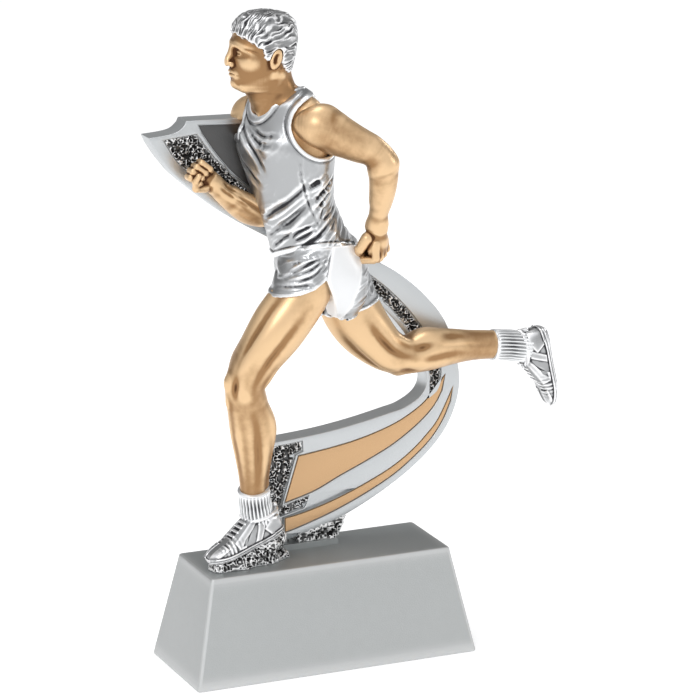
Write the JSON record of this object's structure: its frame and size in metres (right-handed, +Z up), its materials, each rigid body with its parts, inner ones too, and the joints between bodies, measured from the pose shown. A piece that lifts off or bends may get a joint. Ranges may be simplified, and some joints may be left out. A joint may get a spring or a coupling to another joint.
{
  "type": "figure trophy",
  "caption": "Cast award figure of a sprinter in full stride, held in front of a tall hairpin ribbon, on a weighted wedge-sided base with a plain sloping front for an engraving plate.",
  "frame": {"origin": "centre of the base's underside", "axes": "+Z up, +X along the base's long side and away from where the runner heads, -Y towards the front face of the base"},
  "size_m": [0.1417, 0.0548, 0.2201],
  "materials": {
    "base_silver": "cast resin, sand-textured under silver metallic lacquer",
    "ribbon_silver": "cast resin, satin silver metallic lacquer",
    "panel_gold": "flat champagne-gold metallic paint",
    "hammered_black": "black wash in a pitted field, its high spots rubbed back to silver",
    "smoked_silver": "brushed silver under a smoked grey wash",
    "skin_bronze": "gold-bronze metallic lacquer with a brown antique wash",
    "cloth_silver": "bright silver metallic lacquer with a dark antique wash in the folds",
    "shoe_silver": "silver metallic lacquer with a grey wash in the seams",
    "hair_silver": "silver metallic lacquer with a dark wash between the locks",
    "panel_pearl": "pearl white lacquer",
    "felt_black": "self-adhesive felt",
    "weight_iron": "raw casting",
    "fixing_steel": "zinc-plated"
  },
  "bodies": {
    "root": {"base_block": "base_silver", "base_felt": "felt_black", "base_weight": "weight_iron", "base_screws": "fixing_steel", "base_washers": "fixing_steel", "foot_plate": "ribbon_silver", "rock_mound": "hammered_black", "ribbon_rock": "hammered_black", "ribbon_frame": "ribbon_silver", "gold_panel": "panel_gold", "gold_stripe": "panel_gold", "stipple_band": "hammered_black", "stipple_panel": "hammered_black", "smoked_panel": "smoked_silver", "head": "skin_bronze", "hair": "hair_silver", "vest": "cloth_silver", "shorts": "cloth_silver", "left_side_panel": "panel_pearl", "left_arm": "skin_bronze", "right_arm": "skin_bronze", "right_shoulder": "skin_bronze", "left_leg": "skin_bronze", "right_leg": "skin_bronze", "left_sock": "cloth_silver", "right_sock": "cloth_silver", "left_shoe": "shoe_silver", "right_shoe": "shoe_silver", "neck_dowel": "fixing_steel", "waist_dowel": "fixing_steel", "shoulder_dowels": "fixing_steel", "hip_dowels": "fixing_steel", "leg_rod": "fixing_steel", "ankle_dowel": "fixing_steel", "ribbon_dowels": "fixing_steel"}
  },
  "joints": []
}
